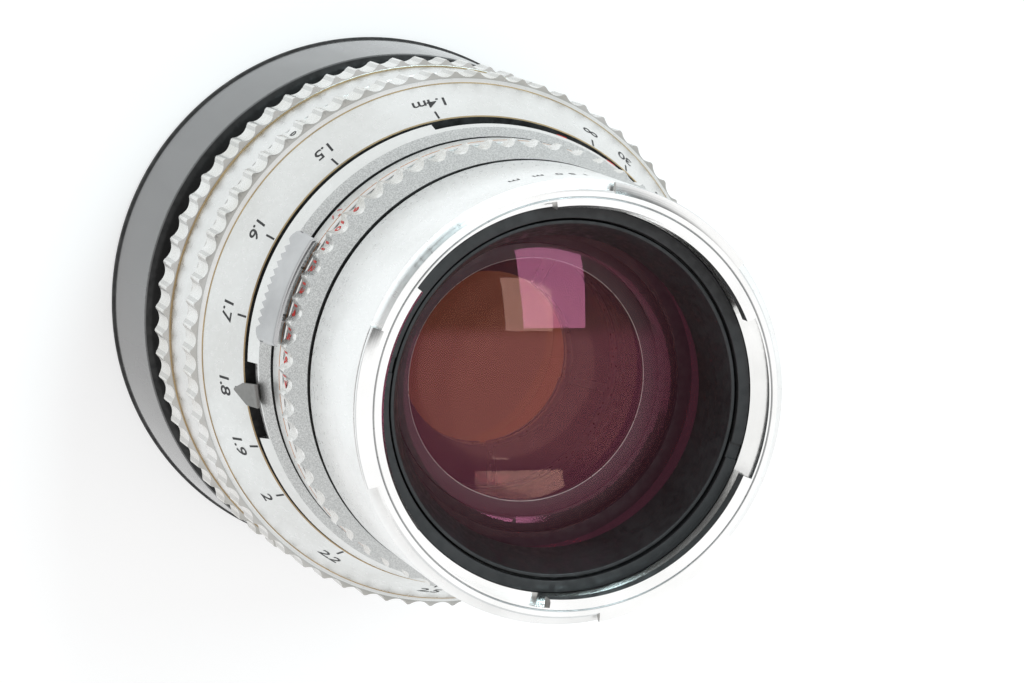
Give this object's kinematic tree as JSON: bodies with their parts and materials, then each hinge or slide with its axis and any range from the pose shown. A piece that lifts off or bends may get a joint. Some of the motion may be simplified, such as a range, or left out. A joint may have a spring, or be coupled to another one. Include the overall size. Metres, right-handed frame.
{
  "type": "interchangeable leaf-shutter camera lens",
  "caption": "Medium-tele camera lens with satin metal control rings, scalloped focusing ring, filter bayonet front and rear cap.",
  "frame": {"origin": "centre of the rear cap's rear face, at the bottom centre of the bounding box", "axes": "+Z along the optical axis, out of the front of the lens; -Y towards the focusing index; the lens stands on its rear cap"},
  "size_m": [0.0776, 0.0776, 0.1014],
  "materials": {
    "cap_plastic": "gloss moulded",
    "chromed_brass": "satin chrome",
    "polished_chrome": "polished chrome",
    "black_barrel": "black anodised",
    "satin_ring": "satin chrome",
    "scale_ring": "fine satin chrome",
    "steel": "turned",
    "brass": "plain",
    "blade_steel": "blued spring steel",
    "black_cell": "matt black",
    "coated_glass": "single-layer coated, polished",
    "clear_glass": "coated, polished",
    "insulator": "moulded"
  },
  "bodies": {
    "mount": {"bayonet_flange": "chromed_brass", "flange_screws": "steel", "rear_baffle": "black_cell", "cocking_bush": "brass", "fixed_barrel": "black_barrel", "helicoid_keys": "brass"},
    "rear_cap": {"rear_cap": "cap_plastic"},
    "cocking_shaft": {"cocking_shaft": "steel"},
    "carriage": {"focus_carrier": "black_barrel", "index_ring": "scale_ring", "flash_socket": "polished_chrome", "flash_insulator": "insulator", "flash_pin": "brass", "shutter_housing": "black_barrel", "housing_cover": "black_barrel", "blade_partition": "steel", "front_barrel": "scale_ring", "filter_bayonet": "polished_chrome", "front_cell": "black_cell", "front_element": "coated_glass", "front_glass_retainer": "black_cell", "front_name_ring": "black_cell", "middle_cell": "black_cell", "second_element": "clear_glass", "third_element": "clear_glass", "middle_retaining_ring": "black_cell", "rear_cell": "black_cell", "fourth_element": "clear_glass", "fifth_element": "clear_glass", "rear_retaining_ring": "black_cell"},
    "focus_ring": {"focus_sleeve": "black_barrel", "rear_grip_ring": "satin_ring", "front_grip_ring": "satin_ring", "distance_scale_ring": "scale_ring", "grip_screws": "steel"},
    "dof_near": {"dof_ring_near": "steel"},
    "dof_far": {"dof_ring_far": "steel"},
    "stop_down": {"stop_down_ring": "steel", "stop_down_lever": "chromed_brass"},
    "sync_lever": {"sync_lever": "chromed_brass"},
    "aperture_ring": {"aperture_ring": "scale_ring", "aperture_link": "steel", "aperture_drive_ring": "steel"},
    "ev_tab": {"ev_tab": "polished_chrome"},
    "speed_ring": {"shutter_speed_ring": "satin_ring"},
    "shutter_drive": {"shutter_drive_ring": "steel"},
    "shutter_blade_1": {"shutter_blade_1": "blade_steel"},
    "iris_blade_1": {"iris_blade_1": "blade_steel"},
    "shutter_blade_2": {"shutter_blade_2": "blade_steel"},
    "iris_blade_2": {"iris_blade_2": "blade_steel"},
    "shutter_blade_3": {"shutter_blade_3": "blade_steel"},
    "iris_blade_3": {"iris_blade_3": "blade_steel"},
    "shutter_blade_4": {"shutter_blade_4": "blade_steel"},
    "iris_blade_4": {"iris_blade_4": "blade_steel"},
    "shutter_blade_5": {"shutter_blade_5": "blade_steel"},
    "iris_blade_5": {"iris_blade_5": "blade_steel"}
  },
  "joints": [
    {"name": "cap_removal", "type": "slide", "parent": "mount", "child": "rear_cap", "axis": [0, 0, -1], "range_m": [0, 0.03]},
    {"name": "cocking_turn", "type": "hinge", "parent": "mount", "child": "cocking_shaft", "pos_m": [0, 0.0238, 0.02], "axis": [0, 0, 1], "range_deg": [0, 300]},
    {"name": "focus_travel", "type": "slide", "parent": "mount", "child": "carriage", "axis": [0, 0, 1], "range_m": [0, 0.0209]},
    {"name": "focus_turn", "type": "hinge", "parent": "carriage", "child": "focus_ring", "pos_m": [0, 0, 0.04], "axis": [0, 0, 1], "range_deg": [0, 322]},
    {"name": "aperture_turn", "type": "hinge", "parent": "carriage", "child": "aperture_ring", "pos_m": [0, 0, 0.067], "axis": [0, 0, -1], "range_deg": [0, 56]},
    {"name": "ev_press", "type": "slide", "parent": "aperture_ring", "child": "ev_tab", "axis": [-0.9914, -0.1305, 0], "range_m": [0, 0.0006], "stiffness_N_per_m": 3000},
    {"name": "speed_turn", "type": "hinge", "parent": "carriage", "child": "speed_ring", "pos_m": [0, 0, 0.073], "axis": [0, 0, -1], "range_deg": [0, 100]},
    {"name": "dof_near_turn", "type": "hinge", "parent": "carriage", "child": "dof_near", "pos_m": [0, 0, 0.059], "axis": [0, 0, 1], "range_deg": [0, 32.5]},
    {"name": "dof_far_turn", "type": "hinge", "parent": "carriage", "child": "dof_far", "pos_m": [0, 0, 0.0599], "axis": [0, 0, -1], "range_deg": [0, 32.5]},
    {"name": "stop_down_swing", "type": "hinge", "parent": "carriage", "child": "stop_down", "pos_m": [0, 0, 0.0607], "axis": [0, 0, 1], "range_deg": [0, 9], "stiffness_Nm_per_rad": 0.05},
    {"name": "sync_swing", "type": "hinge", "parent": "carriage", "child": "sync_lever", "pos_m": [0, 0, 0.0624], "axis": [0, 0, 1], "range_deg": [0, 18]},
    {"name": "shutter_turn", "type": "hinge", "parent": "carriage", "child": "shutter_drive", "pos_m": [0, 0, 0.0576], "axis": [0, 0, -1], "range_deg": [0, 6.91]},
    {"name": "shutter_blade_1_swing", "type": "hinge", "parent": "carriage", "child": "shutter_blade_1", "pos_m": [0, -0.022, 0.0585], "axis": [0, 0, 1], "range_deg": [0, 55.2]},
    {"name": "shutter_blade_2_swing", "type": "hinge", "parent": "carriage", "child": "shutter_blade_2", "pos_m": [0.02092, -0.0068, 0.0589], "axis": [0, 0, 1], "range_deg": [0, 55.2]},
    {"name": "shutter_blade_3_swing", "type": "hinge", "parent": "carriage", "child": "shutter_blade_3", "pos_m": [0.01293, 0.0178, 0.0593], "axis": [0, 0, 1], "range_deg": [0, 55.2]},
    {"name": "shutter_blade_4_swing", "type": "hinge", "parent": "carriage", "child": "shutter_blade_4", "pos_m": [-0.01293, 0.0178, 0.0597], "axis": [0, 0, 1], "range_deg": [0, 55.2]},
    {"name": "shutter_blade_5_swing", "type": "hinge", "parent": "carriage", "child": "shutter_blade_5", "pos_m": [-0.02092, -0.0068, 0.0601], "axis": [0, 0, 1], "range_deg": [0, 55.2]},
    {"name": "iris_blade_1_swing", "type": "hinge", "parent": "carriage", "child": "iris_blade_1", "pos_m": [0, -0.022, 0.0622], "axis": [0, 0, 1], "range_deg": [0, 45.2]},
    {"name": "iris_blade_2_swing", "type": "hinge", "parent": "carriage", "child": "iris_blade_2", "pos_m": [0.02092, -0.0068, 0.0626], "axis": [0, 0, 1], "range_deg": [0, 45.2]},
    {"name": "iris_blade_3_swing", "type": "hinge", "parent": "carriage", "child": "iris_blade_3", "pos_m": [0.01293, 0.0178, 0.063], "axis": [0, 0, 1], "range_deg": [0, 45.2]},
    {"name": "iris_blade_4_swing", "type": "hinge", "parent": "carriage", "child": "iris_blade_4", "pos_m": [-0.01293, 0.0178, 0.0634], "axis": [0, 0, 1], "range_deg": [0, 45.2]},
    {"name": "iris_blade_5_swing", "type": "hinge", "parent": "carriage", "child": "iris_blade_5", "pos_m": [-0.02092, -0.0068, 0.0638], "axis": [0, 0, 1], "range_deg": [0, 45.2]}
  ],
  "couplings": [
    {"joint": "focus_travel", "follows": "focus_turn", "m_per_rad": 0.0037189},
    {"joint": "dof_near_turn", "follows": "aperture_turn", "ratio": 0.57},
    {"joint": "dof_far_turn", "follows": "aperture_turn", "ratio": 0.57},
    {"joint": "shutter_blade_1_swing", "follows": "shutter_turn", "ratio": 7.9595},
    {"joint": "shutter_blade_2_swing", "follows": "shutter_turn", "ratio": 7.9595},
    {"joint": "shutter_blade_3_swing", "follows": "shutter_turn", "ratio": 7.9595},
    {"joint": "shutter_blade_4_swing", "follows": "shutter_turn", "ratio": 7.9595},
    {"joint": "shutter_blade_5_swing", "follows": "shutter_turn", "ratio": 7.9595},
    {"joint": "iris_blade_1_swing", "follows": "aperture_turn", "ratio": 0.8036},
    {"joint": "iris_blade_2_swing", "follows": "aperture_turn", "ratio": 0.8036},
    {"joint": "iris_blade_3_swing", "follows": "aperture_turn", "ratio": 0.8036},
    {"joint": "iris_blade_4_swing", "follows": "aperture_turn", "ratio": 0.8036},
    {"joint": "iris_blade_5_swing", "follows": "aperture_turn", "ratio": 0.8036}
  ]
}
